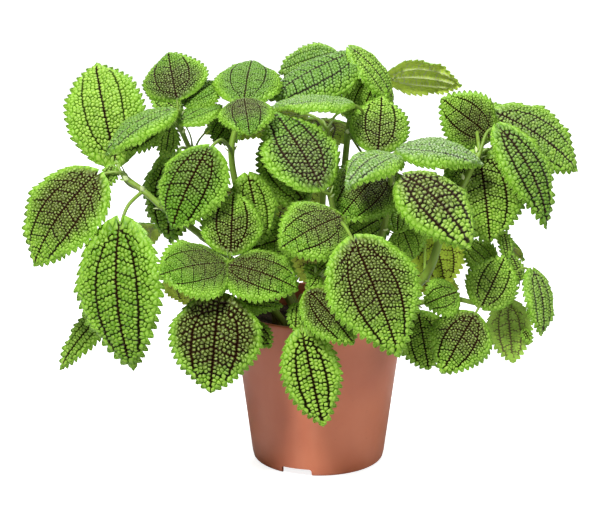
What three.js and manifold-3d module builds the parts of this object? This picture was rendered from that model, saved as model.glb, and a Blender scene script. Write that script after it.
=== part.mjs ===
// A bushy friendship plant (Pilea with deeply pebbled leaves) in a round plastic nursery pot.
// Millimetres, +Z up, the pot's foot on Z = 0, the front of the plant towards -Y.
import * as THREE from 'three';
import { mergeVertices } from 'three/addons/utils/BufferGeometryUtils.js';
import Module from 'manifold-3d';

const wasm = await Module();
wasm.setup();

// Pot
const POT_HEIGHT = 96;
const RIM_RADIUS = 52.5;
const BASE_RADIUS = 40;
const FOOT_ROUND = 2;
const WALL = 1.8;
const LIP_DEPTH = 4;
const LIP_EXTRA = 0.6;
const FLOOR_TOP = 7;
const FLOOR_UNDERSIDE = 4.8;
const FOOT_RING_WIDTH = 3;
const POT_SIDES = 32;
const NOTCH_WIDTH = 19;
const NOTCH_HEIGHT = 4.4;
const NOTCH_ANGLES = [-20, 100, 220];
const DRAIN_RADIUS = 4;
const DRAIN_CIRCLE = 22;

// Potting mix
const SOIL_TOP = 83;
const SOIL_SIDES = 16;
const HOLE_SIDES = 8;
const CLEARANCE = 0.35;
const STEM_HOLE_BOTTOM = 71.6;
const ROOT_BOTTOM = 72;
const SHOOT_TIP = 2.5;

// Leaves and stems
const BLADE_THICKNESS = 0.8;
const GROOVE_DEPTH = 0.55;
const PEBBLE_HEIGHT = 0.45;
const TOOTH_REACH = 1.2;
const AURICLE = 0.07;
const STALK_SIDES = 3;
const STEM_SIDES = 5;
const STALK_INTO_BLADE = 0.08;

// Half width of a blade along its length, as a share of its greatest half width
const OUTLINE_AT = [0, 0.03, 0.08, 0.15, 0.25, 0.35, 0.45, 0.55, 0.65, 0.75, 0.84, 0.91, 0.96, 1];
const OUTLINE_HALF = [0, 0.3, 0.56, 0.77, 0.93, 0.99, 1, 0.96, 0.87, 0.72, 0.52, 0.32, 0.17, 0];

// Each stem: its joints from the soil to the tip, and its leaves.
// A leaf is [joint it grows from, base x y z, tip x y z, way its face looks (azimuth from the
// front towards +X, elevation), width, arch along the midrib, dome across, extra dome on the right].
const stems = [
  {
    name: 'leafy_stem_left',
    radius: 2.3,
    joints: [
      [-24, -6, 88], [-42, -18, 118], [-67, -28, 144], [-93, -25, 163], [-103, -22, 171], [-112, -16, 176],
    ],
    leaves: [
      [4, -121, 4, 183, -136, 46, 236, -5, 32, 47, 0.14, 0.2, 0],
      [4, -131, -12, 178, -168, -26, 126, -22, 35, 53, 0.12, 0.15, 0],
      [4, -115, -38, 155, -108, -52, 70, -22, 15, 54, 0.14, 0.25, 0],
      [5, -122, -6, 183, -126, -9, 170, -10, 20, 10, 0.05, 0.2, 0],
    ],
  },
  {
    name: 'leafy_stem_top_left',
    radius: 1.9,
    joints: [[-27, 8, 88], [-48, 10, 130], [-68, 6, 168], [-76, 2, 189], [-81, 0, 202], [-83, -2, 212]],
    leaves: [
      [5, -84, 0, 222, -90, 22, 246, -8, 40, 42, 0.08, 0.6, -0.25],
      [5, -85, -12, 217, -124, -28, 193, -15, 84, 34, 0.12, 0.45, 0],
      [4, -91, 2, 208, -120, -6, 191, 0, 10, 18, 0.05, 0.2, 0],
      [4, -88, -2, 205, -91, -7, 187, 0, 20, 14, 0.05, 0.2, 0],
      [5, -82, -8, 209, -57, 4, 217, -5, 80, 26, 0.08, 0.5, 0],
      [5, -80, 5, 218, -58, 14, 229, -10, 58, 28, 0.1, 0.5, 0],
    ],
  },
  {
    name: 'leafy_stem_middle_left',
    radius: 2.3,
    joints: [[-14, 4, 88], [-32, 2, 125], [-48, -2, 165], [-52, 0, 191], [-48, 4, 208]],
    leaves: [
      [4, -44, -10, 222, -40, 34, 239, 0, 58, 42, 0.1, 0.6, 0],
      [4, -44, -14, 224, -40, -40, 207, 0, 50, 33, 0.1, 0.5, 0],
      [4, -52, 18, 207, -63, 16, 192, -10, 5, 22, 0.05, 0.2, 0],
      [3, -64, -28, 197, -85, -44, 153, -12, 38, 44, 0.08, 0.5, 0.1],
      [2, -42, -12, 178, -34, -26, 139, 12, 20, 27, 0.05, 0.2, 0],
      [2, -9, 0, 159, -36, 8, 192, 10, 25, 29, 0.05, 0.2, 0],
    ],
  },
  {
    name: 'leafy_stem_front_left',
    radius: 2.0,
    joints: [[-20, -22, 88], [-34, -34, 110], [-46, -44, 128], [-52, -48, 136]],
    leaves: [
      [3, -51, -50, 141, -50, -28, 172, 0, 40, 36, 0.05, 0.2, 0],
      [3, -54, -54, 135, -91, -74, 133, -5, 50, 45, 0.08, 0.4, 0],
      [3, -52, -54, 134, -12, -74, 125, 5, 50, 38, 0.08, 0.35, 0],
      [2, -57, -64, 118, -62, -84, 67, -4, 30, 53, 0.07, 0.3, 0],
      [2, -46, -50, 111, -21, -46, 108, 0, 60, 14, 0.05, 0.1, 0],
      [1, -33, -44, 111, -44, -50, 102, 0, 50, 11, 0.05, 0.1, 0],
      [1, -39, -52, 99, -28, -58, 86, 10, 30, 12, 0.05, 0.1, 0],
    ],
  },
  {
    name: 'leafy_stem_front',
    radius: 1.8,
    joints: [[-5, -26, 88], [-5, -42, 106], [-3, -52, 118], [-1, -60, 130]],
    leaves: [
      [2, -6, -70, 123, 19, -88, 97, 5, 40, 30, 0.06, 0.3, 0],
      [1, -10, -74, 100, 2, -84, 47, 0, 10, 33, 0.05, 0.2, 0],
      [1, -13, -66, 115, -14, -72, 100, 0, 20, 10, 0.05, 0.1, 0],
      [3, -1, -60, 132, 5, -58, 138, 0, 50, 8, 0.05, 0.1, 0],
      [3, -2, -62, 131, -9, -62, 136, 0, 40, 8, 0.05, 0.1, 0],
      [3, -1, -62, 130, -6, -67, 123, 0, 40, 9, 0.05, 0.1, 0],
    ],
  },
  {
    name: 'leafy_stem_middle',
    radius: 2.1,
    joints: [[4, -6, 88], [6, -20, 120], [9, -32, 152], [6, -38, 172]],
    leaves: [
      [3, 0, -42, 178, -28, -8, 216, 18, 40, 46, 0.06, 0.25, 0],
      [2, 12, -52, 162, -23, -72, 148, -5, 40, 43, 0.08, 0.4, 0],
      [2, 19, -74, 153, 44, -100, 93, 4, 30, 53, 0.07, 0.25, 0],
      [1, -12, -10, 142, -44, -14, 133, 5, 20, 28, 0.05, 0.2, 0],
    ],
  },
  {
    name: 'leafy_stem_middle_right',
    radius: 2.1,
    joints: [[14, 0, 88], [28, -12, 118], [38, -20, 148], [42, -22, 176], [43, -24, 187]],
    leaves: [
      [4, 46, -22, 195.5, 95, -28, 188, 2, 80, 40, 0.12, 0.5, 0],
      [4, 45, -30, 193, 14, -58, 179, -20, 78, 34, 0.18, 0.45, 0],
      [4, 40, -12, 184, 11, -34, 156, -12, 25, 42, 0.06, 0.3, 0],
      [3, 48, -48, 185, 85, -72, 148, 15, 48, 44, 0.12, 0.4, 0],
      [2, 46, -20, 146, 47, -10, 158, 0, 30, 15, 0.04, 0.1, 0],
      [2, 49, -17, 147, 56, -18, 128.5, 0, 30, 24, 0.04, 0.2, 0],
      [2, 41, -5, 152, 14, -15, 139, 0, 35, 24, 0.05, 0.2, 0],
      [2, 48, -4, 150, 43, 4, 170, 5, 25, 22, 0.05, 0.2, 0],
    ],
  },
  {
    name: 'leafy_stem_top',
    radius: 2.2,
    joints: [[8, 14, 88], [13, 22, 140], [18, 30, 196], [24, 36, 234]],
    leaves: [
      [3, 10, 64, 240, -25, 62, 228, -5, 42, 25, 0.05, 0.3, 0],
      [3, 23, 36, 244, -30, 12, 219, -5, 75, 52, 0.05, 1, 0],
      [2, 19, 4, 219, -28, -6, 218, -5, 88, 37, 0.06, 0.35, 0],
      [2, 24, 24, 202, 35, 31, 231, 5, 25, 30, 0.05, 0.2, 0],
      [2, 35, 2, 190, 38, 24, 220, 3, 25, 36, 0.05, 0.3, 0],
      [3, 19, 32, 247, 46, 34, 211, 40, 50, 27, 0.1, 0.5, 0],
      [3, 43, 48, 227, 88, 42, 223, 180, 42, 32, 0.08, 0.2, 0],
    ],
  },
  {
    name: 'leafy_stem_right',
    radius: 2.6,
    joints: [[24, -4, 88], [44, -20, 104], [62, -30, 121], [73, -32, 153], [85, -24, 178], [94, -12, 191]],
    leaves: [
      [5, 102, 6, 198, 72, 6, 221, -8, 25, 35, 0.05, 0.3, 0],
      [5, 106, 16, 210, 155, 4, 177, 12, 45, 46, 0.1, 0.4, 0],
      [5, 105, -10, 206, 134, -20, 147, 12, 35, 30, 0.2, 0.4, 0],
      [5, 94, -6, 190, 100, -26, 140, 8, 25, 52, 0.06, 0.25, 0],
      [2, 69, 16, 145, 77, 2, 106, 180, 8, 35, 0.04, 0.1, 0],
    ],
  },
  {
    name: 'leafy_stem_lower_right',
    radius: 1.9,
    joints: [[22, -16, 88], [38, -26, 101], [58, -36, 107], [80, -43, 111], [94, -44, 109], [108, -36, 116]],
    leaves: [
      [3, 79, -50, 117, 60, -58, 112, 0, 30, 24, 0.05, 0.2, 0],
      [2, 58, -38, 101, 64, -48, 69, 0, 20, 31, 0.05, 0.2, 0],
      [4, 89, -56, 105, 69, -76, 76, 4, 40, 36, 0.07, 0.35, 0],
      [4, 94, -48, 108, 108, -38, 136, 6, 35, 31, 0.06, 0.35, 0],
      [5, 110, -34, 107, 115, -34, 69, 180, 15, 26, 0.05, 0.2, 0],
      [5, 125, -30, 125, 130, -42, 88, 42, 20, 24, 0.1, 0.35, 0],
      [5, 112, -18, 129, 108, -14, 147, 20, 30, 9, 0.05, 0.1, 0],
      [5, 119, -24, 117, 112, -18, 134, 30, 30, 10, 0.05, 0.1, 0],
      [5, 104, -14, 122, 87, -8, 137, 0, 30, 20, 0.05, 0.2, 0],
      [5, 120, -34, 90, 125, -36, 82, 0, 30, 6, 0.05, 0.1, 0],
    ],
  },
  {
    name: 'leafy_stem_low_left',
    radius: 1.9,
    joints: [[-26, 14, 88], [-50, 22, 102], [-80, 28, 108], [-104, 28, 104]],
    leaves: [
      [3, -122, 28, 92, -161, 18, 48, -25, 30, 20, 0.1, 0.3, 0],
      [3, -112, 40, 100, -140, 66, 66, -140, 45, 40, 0.08, 0.3, 0],
      [2, -80, 40, 104, -82, 66, 76, 180, 40, 36, 0.08, 0.3, 0],
    ],
  },
  {
    name: 'leafy_stem_back_left',
    radius: 2.2,
    joints: [[-14, 24, 88], [-36, 42, 122], [-62, 54, 155], [-78, 58, 178]],
    leaves: [
      [2, -104, 62, 130, -146, 74, 104, -150, 45, 44, 0.08, 0.35, 0],
      [3, -80, 72, 172, -90, 114, 138, 175, 42, 44, 0.08, 0.35, 0],
      [3, -84, 52, 200, -104, 46, 218, -60, 50, 30, 0.08, 0.4, 0],
      [2, -60, 70, 152, -58, 106, 116, 180, 35, 42, 0.08, 0.3, 0],
      [3, -88, 44, 180, -92, 38, 124, -25, 20, 40, 0.08, 0.3, 0],
      [3, -70, 60, 192, -44, 74, 204, 170, 60, 32, 0.08, 0.4, 0],
    ],
  },
  {
    name: 'leafy_stem_back',
    radius: 2.2,
    joints: [[2, 30, 88], [2, 52, 124], [4, 66, 160], [6, 72, 190]],
    leaves: [
      [3, 2, 88, 194, -4, 134, 162, 180, 42, 50, 0.1, 0.35, 0],
      [3, -10, 78, 200, -54, 96, 180, -170, 55, 38, 0.08, 0.4, 0],
      [3, 18, 80, 202, 56, 98, 192, 165, 60, 36, 0.08, 0.4, 0],
      [2, -8, 80, 156, -28, 114, 118, -170, 38, 42, 0.08, 0.3, 0],
      [2, 18, 80, 156, 42, 112, 122, 165, 38, 42, 0.08, 0.3, 0],
      [1, 4, 70, 122, 6, 98, 72, 180, 30, 46, 0.08, 0.3, 0],
    ],
  },
  {
    name: 'leafy_stem_back_right',
    radius: 2.2,
    joints: [[22, 20, 88], [44, 38, 118], [70, 48, 148], [84, 50, 174]],
    leaves: [
      [3, 100, 56, 180, 142, 62, 150, 130, 42, 44, 0.08, 0.35, 0],
      [3, 88, 68, 180, 102, 110, 148, 165, 42, 44, 0.08, 0.35, 0],
      [3, 88, 44, 190, 112, 40, 212, 70, 50, 28, 0.08, 0.4, 0],
      [2, 74, 66, 146, 86, 98, 106, 170, 38, 40, 0.08, 0.3, 0],
      [2, 88, 46, 142, 130, 44, 112, 110, 42, 38, 0.08, 0.3, 0],
      [1, 60, 46, 112, 84, 66, 76, 150, 35, 36, 0.08, 0.3, 0],
    ],
  },
];

// Solids

function solidFrom(geometry) {
  const bare = geometry.clone();
  bare.deleteAttribute('normal');
  bare.deleteAttribute('uv');
  const merged = mergeVertices(bare, 1e-4);
  return new wasm.Manifold(new wasm.Mesh({
    numProp: 3,
    vertProperties: new Float32Array(merged.attributes.position.array),
    triVerts: new Uint32Array(merged.index.array),
  }));
}

function geometryFrom(solid) {
  const mesh = solid.getMesh();
  const geometry = new THREE.BufferGeometry();
  geometry.setAttribute('position', new THREE.BufferAttribute(mesh.vertProperties, 3));
  geometry.setIndex(new THREE.BufferAttribute(mesh.triVerts, 1));
  geometry.computeVertexNormals();
  return geometry;
}

function vector(values) {
  return new THREE.Vector3(values[0], values[1], values[2]);
}

// A tube along a curve, closed at both ends
function tube(curve, radius, sides, steps) {
  const section = new THREE.Shape();
  for (let i = 0; i < sides; i += 1) {
    const angle = (2 * Math.PI * i) / sides;
    const x = radius * Math.cos(angle);
    const y = radius * Math.sin(angle);
    if (i === 0) {
      section.moveTo(x, y);
    } else {
      section.lineTo(x, y);
    }
  }
  section.closePath();
  const geometry = new THREE.ExtrudeGeometry(section, { steps, extrudePath: curve, curveSegments: 1 });
  return solidFrom(geometry);
}

// Leaves

function halfWidth(along) {
  for (let i = 1; i < OUTLINE_AT.length; i += 1) {
    if (along <= OUTLINE_AT[i]) {
      const share = (along - OUTLINE_AT[i - 1]) / (OUTLINE_AT[i] - OUTLINE_AT[i - 1]);
      return OUTLINE_HALF[i - 1] + share * (OUTLINE_HALF[i] - OUTLINE_HALF[i - 1]);
    }
  }
  return 0;
}

function readLeaf(row) {
  const base = vector(row.slice(1, 4));
  const tip = vector(row.slice(4, 7));
  const azimuth = THREE.MathUtils.degToRad(row[7]);
  const elevation = THREE.MathUtils.degToRad(row[8]);
  const chord = tip.clone().sub(base);
  const length = chord.length();
  const forward = chord.divideScalar(length);
  const face = new THREE.Vector3(
    Math.sin(azimuth) * Math.cos(elevation),
    -Math.cos(azimuth) * Math.cos(elevation),
    Math.sin(elevation),
  );
  face.addScaledVector(forward, -face.dot(forward)).normalize();
  const right = forward.clone().cross(face);
  return {
    joint: row[0], base, tip, length, forward, face, right,
    width: row[9], arch: row[10], dome: row[11], rightDome: row[12],
  };
}

// The point of a blade at `along` (0 base, 1 tip) and `across` (-1 left edge, 1 right edge),
// `lift` above its middle surface
function bladePoint(leaf, along, across, lift) {
  const rise = leaf.arch * 4 * along * (1 - along) * leaf.length;
  const slope = leaf.arch * 4 * (1 - 2 * along);
  const upright = leaf.face.clone().addScaledVector(leaf.forward, -slope).normalize();
  const side = Math.sign(across);
  const reach = Math.abs(across);
  const half = (leaf.width / 2) * halfWidth(along);
  const bend = leaf.dome + leaf.rightDome * side;
  const fold = -0.08;
  const turn = fold + bend * reach;
  const out = (half * (Math.sin(turn) - Math.sin(fold)) * side) / bend;
  const drop = (half * (Math.cos(turn) - Math.cos(fold))) / bend;
  const back = AURICLE * leaf.length * reach * reach * Math.exp(-((along / 0.14) ** 2));
  const normal = upright.clone()
    .multiplyScalar(Math.cos(turn))
    .addScaledVector(leaf.right, Math.sin(turn) * side);
  return leaf.base.clone()
    .addScaledVector(leaf.forward, leaf.length * along - back)
    .addScaledVector(leaf.face, rise)
    .addScaledVector(leaf.right, out)
    .addScaledVector(upright, drop)
    .addScaledVector(normal, lift);
}

// Rows of teeth and columns of pebbles for a blade of this length
function bladeDetail(length) {
  if (length > 51.2) {
    return { teeth: 6, columns: [-0.5, 0, 0.5] };
  }
  if (length > 34) {
    return { teeth: 5, columns: [-0.5, 0, 0.5] };
  }
  if (length > 20) {
    return { teeth: 4, columns: [-0.5, 0, 0.5] };
  }
  return { teeth: 3, columns: [0] };
}

// A thin toothed blade: a sunken midrib, raised pebbles in rows, and one tooth between two notches
function bladeSolid(leaf) {
  const { teeth, columns } = bladeDetail(leaf.length);
  const across = [-0.95, ...columns, 0.95];
  const size = Math.min(1, leaf.length / 40);
  const positions = [];
  const faces = [];
  const add = (point) => {
    positions.push(point.x, point.y, point.z);
    return positions.length / 3 - 1;
  };
  const baseIndex = add(bladePoint(leaf, 0, 0, 0));
  const tipIndex = add(bladePoint(leaf, 1, 0, 0));
  const tops = [];
  const bottoms = [];
  for (let row = 1; row < teeth; row += 1) {
    const along = (row / teeth) ** 0.92;
    const top = [];
    const bottom = [];
    across.forEach((share, column) => {
      const edge = column === 0 || column === across.length - 1;
      let relief = (row + column) % 2 === 0 ? PEBBLE_HEIGHT : -PEBBLE_HEIGHT * 0.4;
      if (share === 0) {
        relief = -GROOVE_DEPTH;
      }
      if (edge) {
        relief = 0;
      }
      top.push(add(bladePoint(leaf, along, share, relief * size + BLADE_THICKNESS / 2)));
      bottom.push(add(bladePoint(leaf, along, share, relief * size - BLADE_THICKNESS / 2)));
    });
    tops.push(top);
    bottoms.push(bottom);
  }
  const last = across.length - 1;
  const point = (rows, row, column) => {
    if (row === 0) {
      return baseIndex;
    }
    if (row === teeth) {
      return tipIndex;
    }
    return rows[row - 1][column];
  };
  const triangle = (a, b, c) => {
    if (a !== b && b !== c && a !== c) {
      faces.push(a, b, c);
    }
  };
  for (let row = 0; row < teeth; row += 1) {
    for (let column = 0; column < last; column += 1) {
      const [a, b, c, d] = [
        [row, column], [row, column + 1], [row + 1, column + 1], [row + 1, column],
      ].map(([i, j]) => point(tops, i, j));
      triangle(a, b, c);
      triangle(a, c, d);
      const [e, f, g, h] = [
        [row, column], [row, column + 1], [row + 1, column + 1], [row + 1, column],
      ].map(([i, j]) => point(bottoms, i, j));
      triangle(e, g, f);
      triangle(e, h, g);
    }
    const along = ((row + 0.62) / teeth) ** 0.92;
    const reach = 1 + (TOOTH_REACH * size * 2) / (leaf.width * Math.max(halfWidth(along), 0.3));
    const leftTooth = add(bladePoint(leaf, along, -reach, 0));
    const rightTooth = add(bladePoint(leaf, along, reach, 0));
    triangle(point(tops, row, 0), point(tops, row + 1, 0), leftTooth);
    triangle(point(bottoms, row + 1, 0), point(bottoms, row, 0), leftTooth);
    triangle(point(tops, row + 1, last), point(tops, row, last), rightTooth);
    triangle(point(bottoms, row, last), point(bottoms, row + 1, last), rightTooth);
    if (row > 0) {
      triangle(point(bottoms, row, 0), point(tops, row, 0), leftTooth);
      triangle(point(tops, row, last), point(bottoms, row, last), rightTooth);
    }
    if (row < teeth - 1) {
      triangle(point(tops, row + 1, 0), point(bottoms, row + 1, 0), leftTooth);
      triangle(point(bottoms, row + 1, last), point(tops, row + 1, last), rightTooth);
    }
  }
  const geometry = new THREE.BufferGeometry();
  geometry.setAttribute('position', new THREE.Float32BufferAttribute(positions, 3));
  geometry.setIndex(faces);
  return solidFrom(geometry);
}

// The stalk leaves the stem's joint, meets the blade along its midrib and runs on into it
function stalkSolid(leaf, joint) {
  const slope = leaf.arch * 4;
  const arrive = leaf.forward.clone().addScaledVector(leaf.face, slope).normalize();
  const span = leaf.base.distanceTo(joint);
  const bend = leaf.base.clone().addScaledVector(arrive, -0.45 * span);
  const radius = THREE.MathUtils.clamp(leaf.length / 42, 0.6, 1.3);
  const curve = new THREE.CatmullRomCurve3([
    joint,
    new THREE.QuadraticBezierCurve3(joint, bend, leaf.base).getPoint(0.5),
    bladePoint(leaf, 0.01, 0, 0),
    bladePoint(leaf, STALK_INTO_BLADE, 0, 0),
  ]);
  const steps = span > 34 ? 3 : 2;
  return tube(curve, radius, STALK_SIDES, steps);
}

// The stem rises from an upright root end in its soil hole and ends just past its last joint
function stemCurve(stem) {
  const joints = stem.joints.map(vector);
  const last = joints[joints.length - 1];
  const ahead = last.clone().sub(joints[joints.length - 2]).normalize();
  return new THREE.CatmullRomCurve3([...joints, last.clone().addScaledVector(ahead, SHOOT_TIP)]);
}

function rootEnd(stem) {
  const [x, y, z] = stem.joints[0];
  const height = z + 1 - ROOT_BOTTOM;
  const root = new THREE.CylinderGeometry(stem.radius, stem.radius, height, STEM_SIDES);
  root.rotateX(Math.PI / 2);
  root.translate(x, y, ROOT_BOTTOM + height / 2);
  return solidFrom(root);
}

// The point of a jointed line that lies nearest to a given one
function nearestOn(line, target) {
  const near = line.slice(1).map((end, i) => {
    return new THREE.Line3(line[i], end).closestPointToPoint(target, true, new THREE.Vector3());
  });
  return near.reduce((best, point) => (point.distanceTo(target) < best.distanceTo(target) ? point : best));
}

function leafyStem(stem) {
  const curve = stemCurve(stem);
  const steps = Math.round(1.5 * stem.joints.length);
  const axis = curve.getSpacedPoints(steps);
  const pieces = [rootEnd(stem), tube(curve, stem.radius, STEM_SIDES, steps)];
  stem.leaves.map(readLeaf).forEach((leaf) => {
    pieces.push(bladeSolid(leaf));
    pieces.push(stalkSolid(leaf, nearestOn(axis, vector(stem.joints[leaf.joint]))));
  });
  return pieces.reduce((body, piece) => body.add(piece));
}

// Pot: a thin tapered wall with a floor raised on a notched foot ring

function potRadius(z) {
  return BASE_RADIUS + ((RIM_RADIUS - BASE_RADIUS) * z) / POT_HEIGHT;
}

function potSolid() {
  const lipBottom = POT_HEIGHT - LIP_DEPTH;
  const profile = [
    [0, FLOOR_UNDERSIDE],
    [BASE_RADIUS - FOOT_RING_WIDTH, FLOOR_UNDERSIDE],
    [BASE_RADIUS - FOOT_RING_WIDTH, 0],
    [BASE_RADIUS - FOOT_ROUND, 0],
    [BASE_RADIUS - FOOT_ROUND * 0.3, FOOT_ROUND * 0.3],
    [potRadius(FOOT_ROUND), FOOT_ROUND],
    [potRadius(POT_HEIGHT - 0.6), POT_HEIGHT - 0.6],
    [potRadius(POT_HEIGHT) - 0.6, POT_HEIGHT],
    [potRadius(POT_HEIGHT) - WALL - LIP_EXTRA + 0.4, POT_HEIGHT],
    [potRadius(POT_HEIGHT) - WALL - LIP_EXTRA, POT_HEIGHT - 0.4],
    [potRadius(lipBottom) - WALL - LIP_EXTRA, lipBottom],
    [potRadius(lipBottom - 1) - WALL, lipBottom - 1],
    [potRadius(FLOOR_TOP) - WALL, FLOOR_TOP],
    [0, FLOOR_TOP],
  ].map(([x, y]) => new THREE.Vector2(x, y));
  const lathe = new THREE.LatheGeometry(profile, POT_SIDES);
  lathe.rotateX(Math.PI / 2);
  let body = solidFrom(lathe);
  NOTCH_ANGLES.forEach((degrees) => {
    const notch = new THREE.BoxGeometry(NOTCH_WIDTH, 14, NOTCH_HEIGHT * 2);
    notch.translate(0, -BASE_RADIUS, 0);
    notch.rotateZ(THREE.MathUtils.degToRad(degrees));
    body = body.subtract(solidFrom(notch));
  });
  for (let i = 0; i < 5; i += 1) {
    const angle = (2 * Math.PI * i) / 5;
    const drain = new THREE.CylinderGeometry(DRAIN_RADIUS, DRAIN_RADIUS, 12, 8);
    drain.rotateX(Math.PI / 2);
    drain.translate(DRAIN_CIRCLE * Math.cos(angle), DRAIN_CIRCLE * Math.sin(angle), FLOOR_TOP - 1);
    body = body.subtract(solidFrom(drain));
  }
  return body;
}

// Potting mix: a slightly crumbled top and a plain upright hole for each stem
function soilSolid() {
  const inner = (z) => potRadius(z) - WALL - CLEARANCE;
  const bottom = FLOOR_TOP + CLEARANCE;
  const profile = [
    [0, bottom],
    [inner(bottom), bottom],
    [inner(SOIL_TOP - 1), SOIL_TOP - 1],
    [34, SOIL_TOP + 0.8],
    [16, SOIL_TOP - 0.4],
    [0, SOIL_TOP],
  ].map(([x, y]) => new THREE.Vector2(x, y));
  const lathe = new THREE.LatheGeometry(profile, SOIL_SIDES);
  lathe.rotateX(Math.PI / 2);
  let body = solidFrom(lathe);
  stems.forEach((stem) => {
    const [x, y] = stem.joints[0];
    const radius = (stem.radius + CLEARANCE) / Math.cos(Math.PI / HOLE_SIDES);
    const hole = new THREE.CylinderGeometry(radius, radius, 30, HOLE_SIDES);
    hole.rotateX(Math.PI / 2);
    hole.translate(x, y, STEM_HOLE_BOTTOM + 15);
    body = body.subtract(solidFrom(hole));
  });
  return body;
}

// Materials
const plastic = { color: 0x9c5a42, roughness: 0.42, metalness: 0 };
const mix = { color: 0x1d1714, roughness: 0.95, metalness: 0 };
const leafGreen = { color: 0x5f8f2f, roughness: 0.7, metalness: 0 };

const bodies = [
  { name: 'pot', solid: potSolid(), look: plastic },
  { name: 'soil', solid: soilSolid(), look: mix },
  ...stems.map((stem) => ({ name: stem.name, solid: leafyStem(stem), look: leafGreen })),
];

// The whole stands centred over the middle of its own outer box
const geometries = bodies.map((body) => geometryFrom(body.solid));
const outer = new THREE.Box3();
geometries.forEach((geometry) => {
  geometry.computeBoundingBox();
  outer.union(geometry.boundingBox);
});
const middle = outer.getCenter(new THREE.Vector3());

const plant = new THREE.Group();
plant.position.set(-middle.x, -middle.y, 0);
bodies.forEach((body, index) => {
  const mesh = new THREE.Mesh(geometries[index], new THREE.MeshStandardMaterial(body.look));
  mesh.name = body.name;
  plant.add(mesh);
});

export default plant;
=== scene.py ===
"""The looks of a friendship plant in its nursery pot.

Sizes are in millimetres from the middle of the pot's foot, with the front of the plant towards -Y,
and `metres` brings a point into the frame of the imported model. Only the stage is given in metres.
"""
from math import cos, pi, radians, sin, sqrt

import bpy
import numpy as np
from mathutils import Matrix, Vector
from mathutils.geometry import delaunay_2d_cdt


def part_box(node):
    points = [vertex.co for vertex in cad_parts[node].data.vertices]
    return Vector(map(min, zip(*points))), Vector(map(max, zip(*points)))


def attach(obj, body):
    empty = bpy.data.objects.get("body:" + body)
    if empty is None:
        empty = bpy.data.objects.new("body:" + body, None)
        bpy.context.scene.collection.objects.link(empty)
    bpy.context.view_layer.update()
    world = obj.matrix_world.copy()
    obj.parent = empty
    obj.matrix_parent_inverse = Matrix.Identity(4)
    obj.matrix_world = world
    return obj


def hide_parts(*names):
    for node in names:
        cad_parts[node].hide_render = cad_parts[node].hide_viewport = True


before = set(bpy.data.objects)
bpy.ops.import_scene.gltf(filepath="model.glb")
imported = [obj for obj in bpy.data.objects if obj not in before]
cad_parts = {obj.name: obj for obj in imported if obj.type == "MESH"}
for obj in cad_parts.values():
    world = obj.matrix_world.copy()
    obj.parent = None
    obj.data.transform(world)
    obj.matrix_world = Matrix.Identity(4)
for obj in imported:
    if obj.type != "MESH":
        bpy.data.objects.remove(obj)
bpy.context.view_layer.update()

pot_low, pot_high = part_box("pot")
AXIS = (np.array(pot_low) + np.array(pot_high)) / 2 * [1, 1, 0]

join, outer = np.concatenate, np.multiply.outer


def metres(points):
    return np.asarray(points, float) * 0.001 + AXIS


def unit(vectors):
    vectors = np.asarray(vectors, float)
    return vectors / np.linalg.norm(vectors, axis=-1, keepdims=True)


def squared(vector, along):
    """The direction of the part of the vector that is square to `along`."""
    return unit(vector - along * (vector @ along))


def smoothstep(low, high, value):
    share = np.clip((value - low) / (high - low), 0, 1)
    return share * share * (3 - 2 * share)


def make_object(name, data):
    made = bpy.data.objects.new(name, data)
    bpy.context.scene.collection.objects.link(made)
    return made


def make_mesh(name, points, faces):
    mesh = bpy.data.meshes.new(name)
    mesh.from_pydata(metres(points).tolist(), [], faces)
    return make_object(name, mesh)


# Camera, at the height in degrees and the distance from which the plant is seen
CAMERA_ELEVATION = 14.27
CAMERA_DISTANCE = 1100
CAMERA_TARGET = (-11.28, 0, 125.4)
CAMERA_LENS = 109.56

# Leaves. Half the width and the side veins' places are shares, at shares of the length
THICKNESS = 0.5
OUTLINE_AT = [0, 0.03, 0.08, 0.15, 0.25, 0.35, 0.45, 0.55, 0.65, 0.75, 0.84, 0.91, 0.96, 0.985, 1]
OUTLINE_HALF = [0, 0.3, 0.56, 0.77, 0.93, 0.99, 1, 0.96, 0.87, 0.72, 0.52, 0.31, 0.14, 0.06, 0]
SIDE_VEIN_AT = [0, 0.05, 0.15, 0.3, 0.5, 0.7, 0.85, 1]
SIDE_VEIN_SHARE = [0.05, 0.25, 0.41, 0.47, 0.5, 0.56, 0.68, 0.9]
AURICLE = 0.07  # how far the two lobes of the base reach back
FOLD = -0.08  # the slope of both halves at the midrib
STALK_INTO_BLADE = 0.08
FULL_LENGTH = 45  # shorter leaves have lower swells
PEBBLE, PEBBLE_GROWTH = 0.98, 0.0175  # size, and what each millimetre of length adds
TOOTH, TOOTH_GROWTH = 2.0, 0.036
TOOTH_REACH = 0.62
BAND = 7.0  # height of the band of pebbles between two side rungs
CLIMB_IN, CLIMB_OUT = 0.38, 0.6  # slopes of the rungs inside and outside the side vein
LOBE = 9000000  # numbers from here on are pebbles in teeth
ROUND = 6.28  # a whole turn, for random angles

# What each vertex of a leafy stem carries for the materials, and the materials' slots
VALUES = ("net", "vein", "bronze", "dark", "light", "painted_sheen", "out")
NET, VEIN, BRONZE, DARK, LIGHT, PAINTED_SHEEN, OUT = range(len(VALUES))
TOP, UNDER, BARK, SCALE = range(4)
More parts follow.
